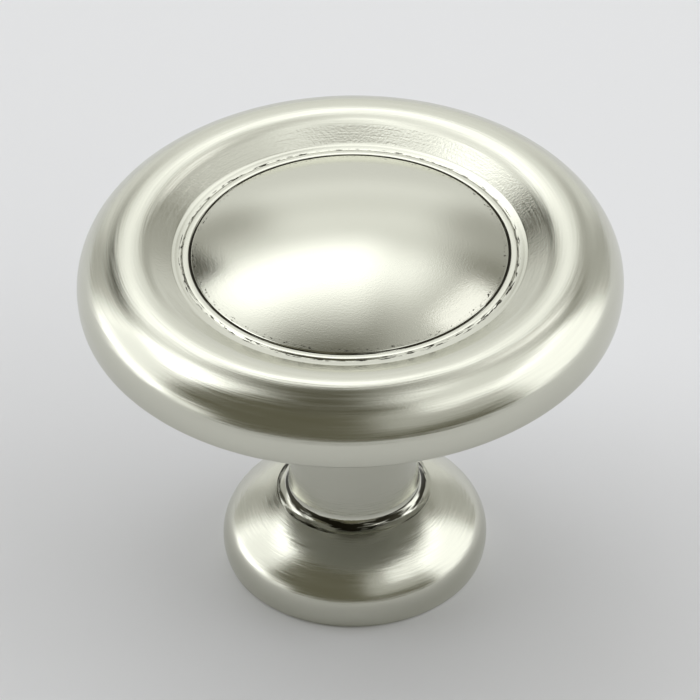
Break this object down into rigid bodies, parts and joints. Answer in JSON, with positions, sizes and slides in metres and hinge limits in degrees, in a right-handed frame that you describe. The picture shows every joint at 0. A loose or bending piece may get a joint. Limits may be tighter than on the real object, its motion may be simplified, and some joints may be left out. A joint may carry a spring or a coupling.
{
  "type": "cabinet knob",
  "caption": "Round cabinet knob in satin metal: low dome set in a groove inside a rolled rim ring, slim neck, bun foot and a tapped hole in the base for its screw.",
  "frame": {"origin": "centre of the base, on the plane where the foot bears on the door", "axes": "+Z out of the door along the knob's axis, towards the face of the head; turned form, so X and Y are free"},
  "size_m": [0.032, 0.032, 0.0236],
  "materials": {
    "satin_nickel": "satin brushed nickel plate on cast zinc"
  },
  "bodies": {
    "root": {"knob": "satin_nickel"}
  },
  "joints": []
}
